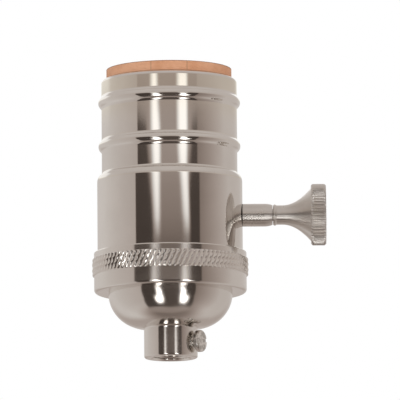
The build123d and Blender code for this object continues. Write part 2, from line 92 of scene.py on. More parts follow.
# Colours of the finishes, each from its darker to its lighter shade
nickel_shades = (0.745, 0.708, 0.672, 1.0), (0.785, 0.748, 0.712, 1.0)
# Painted light: paler nickel that lifts the knurl's colour, standing in for the light it catches
nickel_painted_light = (0.97, 0.95, 0.92, 1.0)
nickel_worn = (0.16, 0.15, 0.12, 1.0)
# Painted shade on a stem where it runs into its hole
painted_hole_shade = (0.05, 0.04, 0.035, 1.0)
fibre_shades = (0.68, 0.335, 0.185, 1.0), (0.80, 0.45, 0.28, 1.0)
fibre_thread = (0.5, 0.22, 0.11, 1.0)
# Dark colour of the liner's top rim and seams, and of a painted shadow above the shell's mouth
fibre_rim_seam_shadow = (0.12, 0.06, 0.035, 1.0)
brass_shades = (0.72, 0.49, 0.20, 1.0), (0.83, 0.62, 0.30, 1.0)
phenolic_shades = (0.045, 0.024, 0.016, 1.0), (0.085, 0.05, 0.034, 1.0)
steel_shades = (0.46, 0.45, 0.44, 1.0), (0.6, 0.59, 0.58, 1.0)
floor_colour = (0.9, 0.9, 0.9, 1.0)

# Outer shell: beads and shoulder rolled with round crests and round feet
bead_proud = 0.00084
bead_crest_round = 0.0015
bead_foot_round = 0.00095
bead_drops = (0.0061, 0.0177)
shoulder_step = 0.00125
shoulder_crest_round = 0.0024
shoulder_foot_round = 0.0006
shoulder_above_knob = 0.01128
shell_wall = 0.0012
mouth_round = 0.00085
stem_hole_radius = 0.0034

# Cap: neck, dome, drum and lip
neck_radius = 0.007
neck_edge_round = 0.0005
neck_foot_round = 0.0006
bore_chamfer = 0.0004
dome_section = 0.0093
dome_wall = 0.0018
dome_at_neck = -85.4
drum_radius = 0.02
drum_edge_round = 0.0008
drum_height = 0.0044
lip_height = 0.0017
lip_round = 0.0003
seat_radius = 0.0191

# Thread in the cap's neck: its root stands just inside the bore's wall, its back is sunk in it
neck_thread_root = 0.0049
neck_thread_crest = 0.0044
neck_thread_pitch = 0.00094
neck_thread_length = 0.0093
neck_thread_low = 0.00035
neck_thread_sunk = 0.0003
neck_thread_fade = 0.0004
bore_gap = 0.0001
thread_steepness = 1.3

# Fibre liner: width of its darker top rim and of the painted shadow above the shell's mouth, and the
# turns of its seams
rim_and_shadow_width = 0.00022
seam_turns = (-16.4, 17.0)
seam_half_width = 0.4

# Knurl round the cap: ridges, and a shallower set across them with a share of their depth
knurl_width = 0.0045
knurl_starts = 96
knurl_slant = 0.44
knurl_floor_radius = 0.02012
knurl_depth = 0.0004
knurl_cross_share = 0.5
knurl_sunk = 0.0004
knurl_fade = 0.0002

# Set screw in the neck
screw_bearing = -27.0
screw_level = 0.004
screw_turned = 8.0
screw_core_radius = 0.00178
screw_thread_depth = 0.00026
screw_thread_fade = 0.0003
screw_pitch = 0.0007
screw_hole_gap = 0.00005
screw_head_radius = 0.00288
screw_head_back = 0.00795
screw_head_height = 0.00145
screw_head_round = 0.0005
screw_head_chamfer = 0.0001
screw_head_crown = 0.00012
screw_tip = 0.00525
screw_tip_chamfer = 0.0003
screw_cup_depth = 0.0004
screw_slot_width = 0.0009
screw_slot_depth = 0.0006

# Knob
knob_collar_width = 0.0009
knob_neck_radius = 0.00255
knob_collar_bulge = 0.00025
knob_flare_start = 0.0026
knob_flare_length = 0.0074
knob_flare_radius = 0.007
knob_flare_bend = 1.9
knob_core_radius = 0.0073
knob_stub_radius = 0.0016
knob_stub_depth = 0.0066
flute_count = 51
flute_depth = 0.0004
flute_steepness = 1.8
flute_fade = 0.00035
flute_inset = 0.00003

# Straight runs longer than an arc's chords have their shading held near their ends, by this much
long_run = 0.00058
hold_in = 0.00008

# Angle past which shading breaks at an edge
sharp_angle = 34.0


class Graph:
    """Short calls that add nodes to one node tree."""

    def __init__(self, tree):
        self.tree = tree

    def add(self, kind, inputs=None, **settings):
        """One node with its settings, its inputs given as values or as sockets to link."""
        node = self.tree.nodes.new(kind)
        for name, value in settings.items():
            setattr(node, name, value)
        for name, value in (inputs or {}).items():
            self.feed(node.inputs[name], value)
        return node

    def feed(self, socket, value):
        """Links a socket to an input, or sets the input to a plain value."""
        if isinstance(value, bpy.types.NodeSocket):
            self.tree.links.new(value, socket)
        else:
            socket.default_value = value

    def math(self, operation, *values, clamp=False):
        """Result of one sum."""
        node = self.add("ShaderNodeMath", operation=operation, use_clamp=clamp)
        for socket, value in zip(node.inputs, values):
            self.feed(socket, value)
        return node.outputs[0]

    def plus(self, first, second):
        return self.math("ADD", first, second)

    def minus(self, first, second):
        return self.math("SUBTRACT", first, second)

    def times(self, first, second):
        return self.math("MULTIPLY", first, second)

    def rise(self, value, low, high):
        """0 below low and 1 above high, with a smooth step between."""
        given = {"Value": value, "From Min": low, "From Max": high}
        return self.add("ShaderNodeMapRange", given, interpolation_type="SMOOTHSTEP").outputs[0]

    def line(self, value, low, high, at_low, at_high):
        """Straight run from one value to another between two limits, held beyond them."""
        given = {"Value": value, "From Min": low, "From Max": high}
        given |= {"To Min": at_low, "To Max": at_high}
        return self.add("ShaderNodeMapRange", given, clamp=True).outputs[0]

    def band(self, value, start, end, soft_start, soft_end):
        """1 between start and end, with a soft edge of its own half width at each."""
        up = self.rise(value, self.minus(start, soft_start), self.plus(start, soft_start))
        down = self.rise(value, self.minus(end, soft_end), self.plus(end, soft_end))
        return self.times(up, self.minus(1.0, down))

    def blend(self, factor, first, second):
        """Number between first and second."""
        node = self.add("ShaderNodeMix", data_type="FLOAT")
        for index, value in ((0, factor), (2, first), (3, second)):
            self.feed(node.inputs[index], value)
        return node.outputs[0]

    def tint(self, factor, first, second, blend_type="MIX"):
        """Colour between first and second."""
        node = self.add("ShaderNodeMix", data_type="RGBA", blend_type=blend_type)
        for index, value in ((0, factor), (6, first), (7, second)):
            self.feed(node.inputs[index], value)
        return node.outputs[2]

    def split(self, vector):
        """The three numbers of a vector."""
        return self.add("ShaderNodeSeparateXYZ", {"Vector": vector}).outputs

    def turn_of(self, x, y):
        """Turn of a place from the front towards the right."""
        return self.math("DEGREES", self.math("ARCTAN2", x, self.times(y, -1.0)))

    def noise(self, where, scale, detail=2.0, roughness=0.5):
        """Noise from 0 to 1, with its middle at 0.5."""
        given = {"Vector": where, "Scale": scale, "Detail": detail, "Roughness": roughness}
        return self.add("ShaderNodeTexNoise", given).outputs["Fac"]

    def stretched(self, where, scale):
        """Coordinates scaled by three numbers, to draw a pattern out along an axis."""
        return self.add("ShaderNodeMapping", {"Vector": where, "Scale": scale}).outputs["Vector"]

    def place(self):
        """Coordinates of the object itself, which move with it."""
        return self.add("ShaderNodeTexCoord").outputs["Object"]


def added(name, data):
    """New object in the scene, with its data."""
    made = bpy.data.objects.new(name, data)
    bpy.context.scene.collection.objects.link(made)
    return made


def place_camera():
    """Camera at the photograph's angle, with the socket's middle where the photograph has it."""
    drop = radians(camera_drop)
    forward = Vector((0.0, cos(drop), sin(drop)))
    upward = Vector((0.0, -sin(drop), cos(drop)))
    aim = Vector((aim_right, 0.0, axis_middle)) + aim_up * upward
    data = bpy.data.cameras.new("camera")
    data.lens = camera_lens
    data.sensor_width = 36.0
    data.clip_start = 0.1
    data.clip_end = 20.0
    camera = added("camera", data)
    camera.location = aim - camera_distance * forward
    camera.rotation_euler = forward.to_track_quat("-Z", "Y").to_euler()
    camera.rotation_euler.rotate_axis("Z", radians(camera_roll))
    bpy.context.scene.camera = camera


def white_world():
    """Plain white surroundings for the camera, and an even light for what looks past the tent."""
    world = bpy.data.worlds.new("surroundings")
    bpy.context.scene.world = world
    world.use_nodes = True
    background = world.node_tree.nodes["Background"]
    background.inputs["Color"].default_value = (1.0, 1.0, 1.0, 1.0)
    background.inputs["Strength"].default_value = 1.0


def cloth_walls(g, turn, level):
    """Cloth of the tent: a brighter left wall, a right wall that starts dark, and the back."""
    left = g.line(turn, -125.0, opening_left, 0.68, 0.52)
    right_start = g.line(level, 12.2, 13.0, 0.26, 0.5)
    right = g.line(turn, opening_right, 105.0, right_start, 0.6)
    walls = g.blend(g.rise(turn, -1.0, 1.0), left, right)
    back = g.line(level, -18.0, 0.0, low_back_light, back_light)
    return g.blend(g.rise(g.math("ABSOLUTE", turn), 135.0, 160.0), walls, back)


def arch_and_strips(g, turn, level):
    """Room seen through the open front: dark at its sides, with a lighter arch in the middle and two
    upright lamp strips, which narrow and fade towards their lower ends."""
    room = g.line(level, 5.5, 10.5, 0.065, 0.085)
    reach = g.plus(g.line(level, 7.6, 11.2, 26.0, 38.0), g.line(level, 11.7, 12.5, 0.0, 24.0))
    arch = g.band(turn, g.times(reach, -1.0), reach, 3.5, 3.5)
    arch_light = g.plus(g.line(level, 5.0, 7.6, 0.09, 0.285), g.line(level, 7.6, 11.0, 0.0, 0.125))
    room = g.blend(arch, room, arch_light)

    strip_light = g.plus(g.line(level, 6.5, 7.6, 0.16, 1.05), g.line(level, 7.6, 11.0, 0.0, 0.3))
    left_outer = g.line(level, 7.0, 11.5, -22.5, -29.5)
    left_inner = g.line(level, 11.5, 13.0, -15.5, -20.0)
    left = g.band(turn, left_outer, left_inner, 5.0, 4.0)
    right_inner = g.line(level, 7.0, 11.0, 22.5, 14.5)
    right_outer = g.plus(g.line(level, 7.2, 9.4, 31.0, 28.0), g.line(level, 9.4, 11.0, 0.0, 2.0))
    right = g.band(turn, right_inner, right_outer, 5.0, 3.5)
    strips = g.times(g.math("MAXIMUM", left, right), g.rise(level, -3.0, 6.0))
    return g.blend(strips, room, g.math("MAXIMUM", strip_light, arch_light))


def low_lamps(g, turn, level, room):
    """Two low lamps on stands, in front of the room."""
    stand_middle = g.line(level, -14.0, 1.0, 1.7, -2.0)
    stand = g.band(g.math("ABSOLUTE", g.minus(turn, stand_middle)), *stand_turns, 3.5, 4.0)
    stand = g.times(stand, g.band(level, *stand_levels, 5.0, 0.7))
    fading = g.minus(g.line(level, -18.0, 0.0, 4.5, 1.0), g.line(level, 2.5, 4.5, 0.0, 0.4))
    room = g.blend(stand, room, fading)
    head = g.band(g.math("ABSOLUTE", g.minus(turn, head_middle)), *head_turns, 7.5, 7.5)
    head = g.times(head, g.band(level, *head_levels, 8.0, 7.0))
    return g.blend(head, room, head_light)


def tent_brightness(g, turn, level):
    """How bright the tent is in each direction."""
    walls = cloth_walls(g, turn, level)
    room = low_lamps(g, turn, level, arch_and_strips(g, turn, level))

    # The opening widens below, where a grey floor starts at its foot
    widening = g.line(level, -60.0, -30.0, 12.0, 0.0)
    left_side = g.minus(opening_left, widening)
    right_side = g.plus(opening_right, widening)
    floor_edge = g.line(g.math("ABSOLUTE", turn), 0.0, 63.0, -67.5, -58.0)
    above_floor = g.rise(level, g.minus(floor_edge, 1.5), floor_edge)
    floor_spread = g.band(turn, g.minus(left_side, 16.0), g.plus(right_side, 16.0), 8.0, 8.0)
    floor_spread = g.times(floor_spread, g.minus(1.0, above_floor))
    walls = g.blend(g.rise(level, -48.0, -80.0), walls, foot_light)
    walls = g.blend(floor_spread, walls, g.line(level, -90.0, -60.0, 0.3, 0.36))
    opening = g.times(g.band(turn, left_side, right_side, 0.8, 1.2), above_floor)
    opening = g.times(opening, g.minus(1.0, g.rise(level, opening_top, opening_top + 1.0)))
    walls = g.blend(g.rise(level, 15.0, 40.0), walls, top_light)

    # A bright backdrop behind, wider at the left, which the knurl's slopes catch
    backdrop = g.plus(g.band(turn, -181.0, -122.0, 1.0, 9.0), g.band(turn, 158.0, 181.0, 7.0, 1.0))
    backdrop = g.times(backdrop, g.band(level, 14.0, 31.0, 2.5, 3.0))
    walls = g.blend(backdrop, walls, backdrop_light)
    return g.blend(opening, walls, room)


def light_tent():
    """Sphere of cloth round the socket that only reflections and lamps' bounces see."""
    data = bpy.data.meshes.new("light_tent")
    tent = added("light_tent", data)
    bm = bmesh.new()
    bmesh.ops.create_uvsphere(bm, u_segments=96, v_segments=48, radius=tent_radius)
    bm.to_mesh(data)
    bm.free()
    tent.location = (0.0, 0.0, axis_middle)
    tent.visible_camera = False
    tent.visible_shadow = False

    cloth = bpy.data.materials.new("tent_cloth")
    cloth.use_nodes = True
    cloth.node_tree.nodes.clear()
    g = Graph(cloth.node_tree)
    x, y, z = g.split(g.place())
    level = g.math("DEGREES", g.math("ARCSINE", g.math("DIVIDE", z, tent_radius)))
    brightness = tent_brightness(g, g.turn_of(x, y), level)
    colour = g.tint(g.rise(brightness, 0.1, 0.9), tent_warm, tent_cool)
    colour = g.tint(g.band(level, 12.6, 15.5, 0.6, 1.5), colour, tent_yellow, "MULTIPLY")
    glow = g.add("ShaderNodeEmission", {"Color": colour, "Strength": brightness})
    g.add("ShaderNodeOutputMaterial", {"Surface": glow.outputs[0]})
    data.materials.append(cloth)


def soft_lamp(name, place, watts):
    """Square area lamp aimed at the socket, kept out of the metal's reflections."""
    data = bpy.data.lights.new(name, "AREA")
    data.size = soft_lamp_size
    data.energy = watts
    lamp = added(name, data)
    lamp.location = place
    towards = Vector((0.0, 0.0, axis_middle)) - Vector(place)
    lamp.rotation_euler = towards.to_track_quat("-Z", "Y").to_euler()
    lamp.visible_glossy = False


def pale_floor():
    """Pale floor far below, seen from above only, so that it never hides the socket."""
    data = bpy.data.meshes.new("floor")
    corners = [(-1, -1), (1, -1), (1, 1), (-1, 1)]
    corners = [(x * floor_half_width, y * floor_half_width, floor_level) for x, y in corners]
    data.from_pydata(corners, [], [(0, 1, 2, 3)])
    floor = added("floor", data)
    pale, g, surface = finish_of("pale_floor")
    surface.inputs["Base Color"].default_value = floor_colour
    surface.inputs["Roughness"].default_value = 0.7
    from_below = g.add("ShaderNodeNewGeometry").outputs["Backfacing"]
    shader = g.add("ShaderNodeMixShader")
    clear = g.add("ShaderNodeBsdfTransparent").outputs[0]
    for socket, value in zip(shader.inputs, (from_below, surface.outputs[0], clear)):
        g.feed(socket, value)
    g.feed(pale.node_tree.nodes["Material Output"].inputs["Surface"], shader.outputs[0])
    data.materials.append(pale)


def finish_of(name):
    """New material with its graph and its surface node."""
    material = bpy.data.materials.new(name)
    material.use_nodes = True
    surface = material.node_tree.nodes["Principled BSDF"]
    return material, Graph(material.node_tree), surface


def bumped(g, surface, height, depth):
    """Feeds a height pattern, with its real depth, to the surface's normal."""
    bump = g.add("ShaderNodeBump", {"Height": height, "Distance": depth, "Strength": 1.0})
    g.feed(surface.inputs["Normal"], bump.outputs["Normal"])


def nickel(name, polish=0.07, line_axis="Z", turned=0.0, painted_shade_until=None, worn=0.0, painted_light_share=0.0):
    """Polished nickel plate: pale grey metal, unevenly polished, its sheen drawn out across its
    lathe lines. It can have painted shade up to a place along X, where a stem runs into its hole,
    be worn in small spots, or be painted brighter all over as painted light."""
    material, g, surface = finish_of(name)
    where = g.place()
    squeeze = [line_wander, line_wander, line_wander]
    squeeze["XYZ".index(line_axis)] = lines_a_metre
    lines = g.noise(g.stretched(where, squeeze), 1.0, 3.0, 0.6)
    clouds = g.noise(where, 90.0, 3.0, 0.55)
    colour = g.tint(g.rise(clouds, 0.3, 0.7), *nickel_shades)
    # Painted light: the colour lifted towards paler nickel all over
    colour = g.tint(painted_light_share, colour, nickel_painted_light)
    # Painted shade on a stem up to where it runs into its hole
    if painted_shade_until is not None:
        clear = g.rise(g.split(where)[0], painted_shade_until - 0.0001, painted_shade_until + 0.0001)
        colour = g.tint(clear, painted_hole_shade, colour)
    if worn:
        spots = g.rise(g.noise(where, 750.0, 2.0, 0.6), 0.42, 0.6)
        colour = g.tint(g.times(spots, worn), colour, nickel_worn)
    g.feed(surface.inputs["Base Color"], colour)
    g.feed(surface.inputs["Roughness"], g.line(clouds, 0.35, 0.7, polish * 0.8, polish * 1.25))
    surface.inputs["Metallic"].default_value = 1.0
    surface.inputs["Anisotropic"].default_value = turned
    surface.inputs["Anisotropic Rotation"].default_value = 0.25
    if turned:
        tangent = g.add("ShaderNodeTangent", direction_type="RADIAL", axis=line_axis)
        g.feed(surface.inputs["Tangent"], tangent.outputs[0])
    waves = g.noise(where, 160.0, 1.0, 0.4)
    bumped(g, surface, g.plus(g.times(lines, 0.12 * (1 - turned)), waves), 0.0000035)
    return material


def fibre():
    """Tan vulcanised fibre: mottled, with fine threads, seams down its front, a darker top rim
    and painted shadow just above the shell's mouth.
    """
    material, g, surface = finish_of("tan_fibre")
    where = g.place()
    blotches = g.noise(where, 120.0, 4.0, 0.6)
    threads = g.noise(g.stretched(where, (900.0, 900.0, 5200.0)), 1.0, 3.0, 0.6)
    colour = g.tint(g.rise(blotches, 0.3, 0.7), *fibre_shades)
    colour = g.tint(g.times(g.rise(threads, 0.55, 0.8), 0.5), colour, fibre_thread)
    x, y, z = g.split(where)
    turn = g.turn_of(x, y)
    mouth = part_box("outer_shell")[1][2]
    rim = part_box("insulating_liner")[1][2]
    # Darker top rim, and painted shadow just above the shell's mouth
    edge = g.rise(z, rim - rim_and_shadow_width, rim - 0.3 * rim_and_shadow_width)
    edge = g.math("MAXIMUM", edge, g.minus(1.0, g.rise(z, mouth, mouth + 2 * rim_and_shadow_width)))
    for middle in seam_turns:
        seam = g.band(turn, middle - seam_half_width, middle + seam_half_width, 0.3, 0.3)
        edge = g.math("MAXIMUM", edge, g.times(seam, 0.45))
    colour = g.tint(g.times(edge, 0.75), colour, fibre_rim_seam_shadow)
    g.feed(surface.inputs["Base Color"], colour)
    g.feed(surface.inputs["Roughness"], g.line(blotches, 0.3, 0.7, 0.6, 0.78))
    bumped(g, surface, g.plus(threads, blotches), 0.00003)
    return material


def brass():
    """Bright plain brass with faint drawing lines."""
    material, g, surface = finish_of("bright_brass")
    where = g.place()
    clouds = g.noise(where, 130.0, 3.0, 0.6)
    lines = g.noise(g.stretched(where, (70.0, 70.0, 5000.0)), 1.0, 2.0, 0.6)
    g.feed(surface.inputs["Base Color"], g.tint(g.rise(clouds, 0.3, 0.7), *brass_shades))
    g.feed(surface.inputs["Roughness"], g.line(clouds, 0.3, 0.7, 0.16, 0.28))
    surface.inputs["Metallic"].default_value = 1.0
    bumped(g, surface, g.plus(clouds, lines), 0.000006)
    return material


def phenolic():
    """Dark brown moulded phenolic with a dull skin."""
    material, g, surface = finish_of("brown_phenolic")
    where = g.place()
    clouds = g.noise(where, 200.0, 5.0, 0.6)
    g.feed(surface.inputs["Base Color"], g.tint(clouds, *phenolic_shades))
    g.feed(surface.inputs["Roughness"], g.line(clouds, 0.3, 0.7, 0.32, 0.5))
    bumped(g, surface, g.noise(where, 2600.0, 2.0, 0.5), 0.00001)
    return material


def steel():
    """Bright drawn steel with lines along it."""
    material, g, surface = finish_of("bright_steel")
    lines = g.noise(g.stretched(g.place(), (120.0, 4000.0, 4000.0)), 1.0, 3.0, 0.6)
    g.feed(surface.inputs["Base Color"], g.tint(lines, *steel_shades))
    g.feed(surface.inputs["Roughness"], g.line(lines, 0.3, 0.7, 0.22, 0.34))
    surface.inputs["Metallic"].default_value = 1.0
    bumped(g, surface, lines, 0.000004)
    return material


def arc(middle, radius, start, end, steps=8):
    """Points of an arc in the outline's plane, between two angles."""
    angles = [radians(start + (end - start) * step / steps) for step in range(steps + 1)]
    return [(middle[0] + radius * cos(a), middle[1] + radius * sin(a)) for a in angles]


def round_step(wall, low, rise, crest_round, foot_round):
    """Outline that swells from a wall by its rise, from a level up, in a round foot and crest."""
    lean = acos(1 - rise / (crest_round + foot_round))
    steps = [lean * step / 8 for step in range(9)]
    top = low + (crest_round + foot_round) * sin(lean)
    foot = [(wall + foot_round * (1 - cos(a)), low + foot_round * sin(a)) for a in steps]
    crest_wall = wall + rise
    crest = [(crest_wall - crest_round * (1 - cos(a)), top - crest_round * sin(a)) for a in steps]
    return foot + crest[-2::-1]


def mirrored(points, level):
    """The same outline turned over about a level, its points in the opposite order."""
    return [(radius, 2 * level - height) for radius, height in reversed(points)]


def held(outline):
    """Outline with a point near each end of its long straight runs, which holds their shading."""
    points = []
    for start, end in zip(outline, outline[1:] + outline[:1]):
        points.append(start)
        across, up = end[0] - start[0], end[1] - start[1]
        length = hypot(across, up)
        if length > long_run:
            for share in (hold_in / length, 1 - hold_in / length):
                points.append((start[0] + across * share, start[1] + up * share))
    return points


def turned(outline, steps=180):
    """Closed mesh turned about Z from a closed outline of radius and height."""
    outline = held(outline)
    bm = bmesh.new()
    rings = []
    for step in range(steps):
        turn = 2 * pi * step / steps
        rings.append([bm.verts.new((r * cos(turn), r * sin(turn), z)) for r, z in outline])
    for here, there in zip(rings, rings[1:] + rings[:1]):
        for row in range(len(outline)):
            bm.faces.new((here[row - 1], there[row - 1], there[row], here[row]))
    bmesh.ops.remove_doubles(bm, verts=bm.verts, dist=1e-7)
    loose = [edge for edge in bm.edges if not edge.link_faces]
    bmesh.ops.delete(bm, geom=loose, context="EDGES")
    bmesh.ops.recalc_face_normals(bm, faces=bm.faces)
    return bm


def evaluated(host):
    """Mesh that an object has once its modifiers have run, as a bmesh."""
    seen = host.evaluated_get(bpy.context.evaluated_depsgraph_get())
    bm = bmesh.new()
    bm.from_mesh(bpy.data.meshes.new_from_object(seen))
    return bm


def cut(body, tool):
    """Body without what the tool takes away."""
    blanks = []
    for part in (body, tool):
        data = bpy.data.meshes.new("blank")
        part.to_mesh(data)
        part.free()
        blanks.append(added("blank", data))
    takes = blanks[0].modifiers.new("cut", "BOOLEAN")
    takes.operation = "DIFFERENCE"
    takes.solver = "EXACT"
    takes.object = blanks[1]
    bm = evaluated(blanks[0])
    for blank in blanks:
        bpy.data.objects.remove(blank)
    return bm


def rod(radius, low, high, steps=72):
    """Plain round bar on Z, to cut holes with."""
    return turned([(0.0, low), (radius, low), (radius, high), (0.0, high)], steps)


band_inputs = {
    "Int": ("Steps Round", "Steps Up"),
    "Float": (
        "Low", "High", "Floor Radius", "Back Radius", "Starts", "Turns", "Depth", "Cross Share",
        "Steepness", "Fade",
    ),
    "Material": ("Material",),
}


def rolled_band_tree():
    """Nodes that make a closed band about Z, its front rolled with helical ridges that fade at its
    ends, and with a second set across them where the cross share isn't 0."""
    tree = bpy.data.node_groups.new("rolled_band", "GeometryNodeTree")
    tree.interface.new_socket("Geometry", in_out="INPUT", socket_type="NodeSocketGeometry")
    for kind, names in band_inputs.items():
        for name in names:
            tree.interface.new_socket(name, in_out="INPUT", socket_type="NodeSocket" + kind)
    tree.interface.new_socket("Geometry", in_out="OUTPUT", socket_type="NodeSocketGeometry")
    g = Graph(tree)
    given = g.add("NodeGroupInput").outputs
    steps_up = given["Steps Up"]
    columns, rows = g.plus(given["Steps Round"], 1.0), g.plus(steps_up, 1.0)
    size = {"Size X": 1.0, "Size Y": 1.0, "Vertices X": columns, "Vertices Y": rows}
    grid = g.add("GeometryNodeMeshGrid", size).outputs["Mesh"]
    x, y, _ = g.split(g.add("GeometryNodeInputPosition").outputs[0])
    share_round = g.plus(x, 0.5)

    # The rows climb the front, cross the top, come down the back and close at the bottom
    half = g.times(steps_up, 0.5)
    fold = g.minus(half, g.math("ABSOLUTE", g.times(y, steps_up)))
    height_share = g.math("DIVIDE", g.minus(fold, 1.0), g.minus(half, 2.0), clamp=True)
    row = g.times(g.plus(y, 0.5), steps_up)
    front = g.math("LESS_THAN", row, g.minus(half, 0.5))
    front = g.times(g.math("GREATER_THAN", row, 0.5), front)

    def ridge(turns):
        """Height of one set of ridges, 0 to 1, which climbs by a number of turns."""
        phase = g.plus(g.times(share_round, given["Starts"]), g.times(height_share, turns))
        share = g.math("FLOORED_MODULO", phase, 1.0)
        wave = g.math("MINIMUM", g.times(share, 2.0), g.times(g.minus(1.0, share), 2.0))
        return g.math("MULTIPLY_ADD", g.minus(wave, 0.5), given["Steepness"], 0.5, clamp=True)

    height = g.minus(given["High"], given["Low"])
    to_end = g.times(g.math("MINIMUM", height_share, g.minus(1.0, height_share)), height)
    fade = g.math("DIVIDE", to_end, given["Fade"], clamp=True)
    across = g.minus(1.0, g.times(g.minus(1.0, ridge(given["Turns"])), given["Cross Share"]))
    proud = g.math("MINIMUM", ridge(g.times(given["Turns"], -1.0)), across)
    proud = g.times(g.times(proud, given["Depth"]), fade)
    radius = g.blend(front, given["Back Radius"], g.plus(given["Floor Radius"], proud))
    turn = g.times(share_round, 2 * pi)
    place = {
        "X": g.times(radius, g.math("COSINE", turn)),
        "Y": g.times(radius, g.math("SINE", turn)),
        "Z": g.plus(given["Low"], g.times(height_share, height)),
    }
    wrapped = {"Geometry": grid, "Position": g.add("ShaderNodeCombineXYZ", place).outputs[0]}
    band = g.add("GeometryNodeSetPosition", wrapped).outputs[0]
    band = g.add("GeometryNodeMergeByDistance", {"Geometry": band, "Distance": 1e-6}).outputs[0]
    band = g.add("GeometryNodeRealizeInstances", {"Geometry": band}).outputs[0]
    covered = {"Geometry": band, "Material": given["Material"]}
    band = g.add("GeometryNodeSetMaterial", covered).outputs[0]
    g.add("NodeGroupOutput", {"Geometry": band})
    return tree


def rolled_band(tree, metal, **sizes):
    """Mesh of one rolled band. Names of sizes are those of the tree's inputs, in lower case."""
    sizes = {"starts": 1.0, "turns": 0.0, "cross_share": 0.0, "material": metal, **sizes}
    host = added("band", bpy.data.meshes.new("band"))
    modifier = host.modifiers.new("band", "NODES")
    modifier.node_group = tree
    for item in tree.interface.items_tree:
        name = item.name.lower().replace(" ", "_")
        if item.in_out == "INPUT" and name in sizes:
            modifier[item.identifier] = sizes[name]
    bm = evaluated(host)
    bpy.data.objects.remove(host)
    bmesh.ops.recalc_face_normals(bm, faces=bm.faces)
    return bm


def piece(name, parts, materials, body, stands_for):
    """Joins meshes, each with its own material, into one object in place of a solid."""
    data = bpy.data.meshes.new(name)
    whole = bmesh.new()
    for index, part in enumerate(parts):
        for face in part.faces:
            face.material_index = index
            face.smooth = True
        step = bpy.data.meshes.new("step")
        part.to_mesh(step)
        part.free()
        whole.from_mesh(step)
        bpy.data.meshes.remove(step)
    whole.to_mesh(data)
    whole.free()
    data.set_sharp_from_angle(angle=radians(sharp_angle))
    data.materials.clear()
    for material in materials:
        data.materials.append(material)
    made = added(name, data)
    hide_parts(stands_for)
    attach(made, body)


def middle_level(node):
    """Level of the middle of a CAD node."""
    low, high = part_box(node)
    return (low[2] + high[2]) / 2


def beaded_shell(metal):
    """Drawn outer shell: shoulder, two rolled beads, a turned-in mouth and the stem's hole."""
    low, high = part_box("outer_shell")
    radius, foot, top = high[1], low[2], high[2]
    upper = radius - shoulder_step
    knob_level = middle_level("knob")
    shoulder_top = knob_level + shoulder_above_knob
    rounds = shoulder_crest_round, shoulder_foot_round
    shoulder = round_step(upper, -shoulder_top, shoulder_step, *rounds)
    outline = [(radius, foot)] + mirrored(shoulder, 0.0)
    inside = [(radius - shell_wall, foot)]
    inside.append((radius - shell_wall, shoulder_top - shoulder_step * 1.6))
    inside.append((upper - shell_wall, shoulder_top))
    swell = round_step(0.0, 0.0, bead_proud, bead_crest_round, bead_foot_round)
    half = swell[-1][1]
    for drop in reversed(bead_drops):
        middle = top - drop
        lower = [(upper + r, middle - half + z) for r, z in swell]
        outline += lower + mirrored(lower, middle)[1:]
        hollow = [(r - shell_wall, z) for r, z in lower]
        inside += hollow + mirrored(hollow, middle)[1:]
    outline += arc((upper - mouth_round, top - mouth_round), mouth_round, 0, 90)
    inside.append((upper - shell_wall, top))
    shell = turned(outline + inside[::-1], 360)
    hole = rod(stem_hole_radius, radius / 2, radius + shell_wall)
    along_knob = Matrix.Rotation(pi / 2, 4, "Y")
    hole.transform(Matrix.Translation((0.0, 0.0, knob_level)) @ along_knob)
    piece("beaded_shell", [cut(shell, hole)], [metal], "socket", "outer_shell")


def screw_axis():
    """Turn that lays a shape made on Z along the set screw's axis."""
    bearing = Matrix.Rotation(radians(screw_bearing), 4, "Z")
    along = bearing @ Matrix.Rotation(pi / 2, 4, "Y")
    return Matrix.Translation((0.0, 0.0, screw_level)) @ along


def screw_hole():
    """What the set screw's hole takes out of the neck."""
    radius = screw_core_radius + screw_thread_depth + screw_hole_gap
    hole = rod(radius, 0.0, 2 * neck_radius)
    hole.transform(screw_axis())
    return hole


